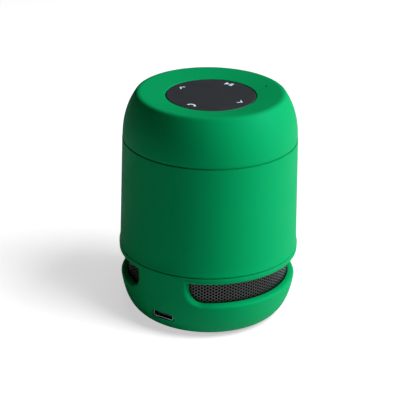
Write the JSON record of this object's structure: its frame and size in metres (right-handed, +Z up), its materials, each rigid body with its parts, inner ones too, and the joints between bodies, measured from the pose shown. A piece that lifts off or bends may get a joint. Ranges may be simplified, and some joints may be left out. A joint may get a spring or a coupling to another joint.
{
  "type": "portable bluetooth speaker",
  "caption": "Round portable speaker with a domed top ring, recessed touch panel, drafted sleeve and a slotted base over a down-firing driver.",
  "frame": {"origin": "middle of the underside, on the surface the speaker stands on", "axes": "+Z up the speaker's axis; -Y faces the charging socket; the sound slots face +X and -X"},
  "size_m": [0.06, 0.06, 0.0771],
  "materials": {
    "soft_green": "soft-touch satin",
    "panel_black": "satin, printed white symbols",
    "rubber_black": "matt",
    "plastic_black": "matt moulded",
    "grille_metal": "black coated, perforated",
    "steel": "bright",
    "magnet_dark": "dark ferrite",
    "paper_grey": "matt pressed paper",
    "spider_cloth": "woven, varnished",
    "copper": "enamelled winding",
    "board_green": "solder mask",
    "chip_black": "moulded epoxy",
    "tray_grey": "matt moulded",
    "battery_silver": "satin pouch",
    "foam_grey": "closed-cell foam",
    "adhesive_white": "adhesive film",
    "connector_white": "natural nylon",
    "flex_amber": "polyimide film",
    "wire_red": "insulation",
    "wire_black": "insulation"
  },
  "bodies": {
    "enclosure": {"top_cap": "soft_green", "body_sleeve": "soft_green", "base_shell": "soft_green", "touch_panel": "panel_black", "foot_ring": "rubber_black", "microphone_boot": "rubber_black", "driver_surround": "rubber_black", "base_plate": "plastic_black", "sound_diffuser": "plastic_black", "baffle_plate": "plastic_black", "grille": "grille_metal", "usb_shell": "steel", "microphone": "steel", "switch_body": "steel", "driver_frame": "steel", "driver_top_plate": "steel", "driver_yoke": "steel", "bluetooth_module": "steel", "base_screw_1": "steel", "base_screw_2": "steel", "base_screw_3": "steel", "driver_screw_1": "steel", "driver_screw_2": "steel", "driver_screw_3": "steel", "baffle_screw_1": "steel", "baffle_screw_2": "steel", "baffle_screw_3": "steel", "tray_screw_1": "steel", "tray_screw_2": "steel", "tray_screw_3": "steel", "board_screw_1": "steel", "board_screw_2": "steel", "charge_screw_1": "steel", "charge_screw_2": "steel", "driver_magnet": "magnet_dark", "driver_spider": "spider_cloth", "touch_board": "board_green", "main_board": "board_green", "charge_board": "board_green", "usb_tongue": "chip_black", "amplifier_chip": "chip_black", "driver_terminals": "chip_black", "inner_tray": "tray_grey", "battery": "battery_silver", "battery_pad": "foam_grey", "driver_gasket": "foam_grey", "panel_adhesive": "adhesive_white", "battery_connector": "connector_white", "touch_flex": "flex_amber", "battery_lead_red": "wire_red", "driver_lead_red": "wire_red", "battery_lead_black": "wire_black", "driver_lead_black": "wire_black", "microphone_lead": "wire_black", "charge_harness": "wire_black"},
    "moving_coil": {"driver_cone": "paper_grey", "driver_dust_cap": "paper_grey", "driver_voice_coil": "copper"},
    "power_slider": {"switch_knob": "plastic_black"}
  },
  "joints": [
    {"name": "cone_travel", "type": "slide", "parent": "enclosure", "child": "moving_coil", "axis": [0, 0, 1], "range_m": [-0.001, 0.001], "stiffness_N_per_m": 150, "deforming": ["driver_surround", "driver_spider"]},
    {"name": "switch_slide", "type": "slide", "parent": "enclosure", "child": "power_slider", "axis": [1, 0, 0], "range_m": [0, 0.002]}
  ]
}
